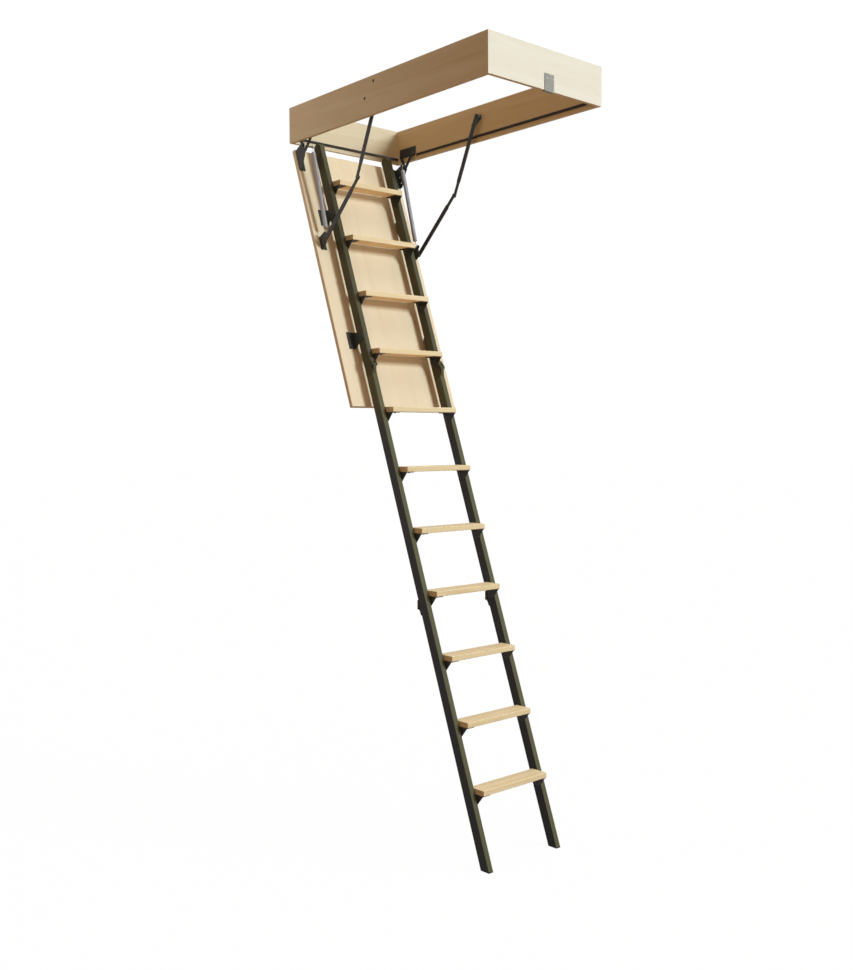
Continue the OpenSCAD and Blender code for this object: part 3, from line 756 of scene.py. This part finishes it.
fastened("hinge_plate_screws", plate_screws, "casing")

# %% [markdown]
# ## Floor
#
# The ladder stands on a plain pale floor in front of white. A floor that is bright enough to look white
# would also throw a lot of light back up. So the floor and the world are white only to rays that show
# them, straight or in a reflection, and give a dim warm light to the rest. The floor keeps a little of
# its own shading, and with it the shadows of the feet.

# %% Floor
FLOOR_Z, FLOOR_GAP, FLOOR_HALF = -2.8, 0.001, 60
WARM_FILL = (0.29, 0.17, 0.08)
FLOOR_GREY = (0.9, 0.9, 0.9)
FLOOR_WHITE_SHARE = 0.97

floor_bm = bmesh.new()
bmesh.ops.create_grid(floor_bm, x_segments=1, y_segments=1, size=FLOOR_HALF)
bmesh.ops.translate(floor_bm, verts=floor_bm.verts, vec=(0, 0, FLOOR_Z - FLOOR_GAP))
floor_mesh = bpy.data.meshes.new("floor")
floor_bm.to_mesh(floor_mesh)
floor_bm.free()
floor = bpy.data.objects.new("floor", floor_mesh)
scene.collection.objects.link(floor)


def seen(finish):
    """1 for rays that show the background itself, 0 for the light that it gives."""
    kinds = ["Is Camera Ray", "Is Glossy Ray", "Is Transmission Ray"]
    rays = [finish.node("ShaderNodeLightPath", output=kind) for kind in kinds]
    return rays[0].greater(rays[1]).greater(rays[2])


pale = Finish("pale_floor")
floor_colour = pale.mix(seen(pale), WARM_FILL, FLOOR_GREY)
pale.surface(Base_Color=floor_colour, Roughness=0.9, Specular_IOR_Level=0.0)
shaded_floor = Value(pale, pale.shader.outputs[0])
white_floor = pale.node("ShaderNodeEmission", inputs={"Color": (*WHITE, 1), "Strength": 1.0})
floor_mix = {0: seen(pale) * FLOOR_WHITE_SHARE, 1: shaded_floor, 2: white_floor}
pale.put(pale.output.inputs["Surface"], pale.node("ShaderNodeMixShader", inputs=floor_mix))
floor_mesh.materials.append(pale.material)
print("floor at", FLOOR_Z, "m")

# %% [markdown]
# ## Light
#
# The key light shines from the front right and above. The casing hangs in front of it, and left to itself
# its far board would throw a dark band over the topmost treads, which the picture does not have. So the
# key light comes twice. A broad sun lights the casing, the upper stiles and the floor, and a large
# softbox lights the rest and is not held up by the casing's boards. Light linking says which lamp lights
# which piece.

# %% Key light
LAMP_COLOUR = (0.78, 0.91, 1.0)
LAMP_FROM = Vector((0.80, 0.46, 0.38))
LAMP_STRENGTH, LAMP_ANGLE = 3.45, 25
SOFTBOX_FROM = Vector((0.92, 0.28, 0.255))
SOFTBOX_STRENGTH, SOFTBOX_SIZE, SOFTBOX_AWAY = 500, 1.5, 7


def lamp(name, kind, direction, strength, colour):
    """A lamp that stands in the given direction and shines back along it."""
    made = bpy.data.objects.new(name, bpy.data.lights.new(name, kind))
    made.data.energy = strength
    made.data.color = colour
    made.rotation_euler = direction.to_track_quat("Z", "Y").to_euler()
    scene.collection.objects.link(made)
    return made


def sun(name, direction, strength, colour, angle):
    made = lamp(name, "SUN", direction, strength, colour)
    made.data.angle = math.radians(angle)
    return made


def softbox(name, direction, strength, colour, place, size):
    made = lamp(name, "AREA", direction, strength, colour)
    made.location = place
    made.data.size = size
    made.visible_camera = False
    return made


def group(name, pieces, state):
    """Pieces that a lamp is told to light alone, or to pass by."""
    made = bpy.data.collections.new(name)
    for piece in pieces:
        made.objects.link(piece)
    for entry in made.collection_objects:
        entry.light_linking.link_state = state
    return made


boards = [piece for name, piece in nodes.items() if slot_of[name] == "casing_ply"]
shaded = boards + [nodes["upper_stile_near"], nodes["upper_stile_far"], floor]
all_but_boards = group("all_but_boards", boards, "EXCLUDE")

on_casing = sun("lamp_on_casing", LAMP_FROM, LAMP_STRENGTH, LAMP_COLOUR, LAMP_ANGLE)
on_casing.light_linking.receiver_collection = group("shaded", shaded, "INCLUDE")
softbox_at = HATCH_MIDDLE + SOFTBOX_FROM.normalized() * SOFTBOX_AWAY
on_ladder = softbox(
    "lamp_on_ladder", SOFTBOX_FROM, SOFTBOX_STRENGTH, LAMP_COLOUR, softbox_at, SOFTBOX_SIZE
)
on_ladder.light_linking.receiver_collection = group("all_but_shaded", shaded, "EXCLUDE")
on_ladder.light_linking.blocker_collection = all_but_boards
print("the sun lights", len(shaded), "pieces and the softbox the others")

# %% [markdown]
# Three weaker lamps finish the picture. One overhead lights the tops of the treads and is not held up by
# the casing's boards. The undersides of the four upper treads are warm with light off the hatch, so a
# lamp from below stands for it and lights those treads alone. A small lamp on the near side lifts the
# hinge end of the casing's near board, and passes the upper treads by.

# %% Weaker lamps
SOFT_ANGLE = 60
OVERHEAD_FROM, OVERHEAD_STRENGTH = Vector((0.1, 0, 1)), 1.25
BOUNCE_FROM, BOUNCE_STRENGTH, BOUNCE_COLOUR = Vector((0.15, 0, -1)), 0.75, (1, 0.36, 0.06)
SIDE_LAMP_AT, SIDE_LAMP_TO = Vector((-0.9, -1.2, 0.1)), Vector((-0.5, -0.3, 0.0))
SIDE_LAMP_STRENGTH, SIDE_LAMP_SIZE = 2.4, 0.6

overhead = sun("lamp_overhead", OVERHEAD_FROM, OVERHEAD_STRENGTH, WHITE, SOFT_ANGLE)
overhead.light_linking.blocker_collection = all_but_boards

upper_treads = [nodes[f"tread_{k}"] for k in range(1, 5)]
tread_brackets = [nodes["upper_tread_brackets"]]
bounce = sun("bounce_off_hatch", BOUNCE_FROM, BOUNCE_STRENGTH, BOUNCE_COLOUR, SOFT_ANGLE)
bounce.light_linking.receiver_collection = group("upper_treads", upper_treads, "INCLUDE")
bounce.light_linking.blocker_collection = group("tread_brackets", tread_brackets, "INCLUDE")

side_lamp = softbox(
    "side_lamp", SIDE_LAMP_AT - SIDE_LAMP_TO, SIDE_LAMP_STRENGTH, WHITE, SIDE_LAMP_AT, SIDE_LAMP_SIZE
)
side_lamp.light_linking.receiver_collection = group("all_but_treads", upper_treads, "EXCLUDE")
print(len(bpy.data.lights), "lamps in all")

# %% [markdown]
# The world is wired like a material, so it uses the same class. It gives the warm fill that keeps the
# faces turned away from the lamps brown and readable, and shows white behind the ladder.


# %% World
class Surround(Finish):
    """The world, wired in the same way as a material."""

    def __init__(self, world):
        self.use(world, "ShaderNodeOutputWorld")


scene.world = bpy.data.worlds.new("white_surround")
surround = Surround(scene.world)
glow = surround.mix(seen(surround), WARM_FILL, WHITE)
surround.put(surround.output.inputs["Surface"], surround.node("ShaderNodeBackground", inputs={"Color": glow}))
scene.view_settings.view_transform = "Standard"
print("world set, view transform", scene.view_settings.view_transform)

# %% [markdown]
# ## End

# %% End
print("the scene is set")
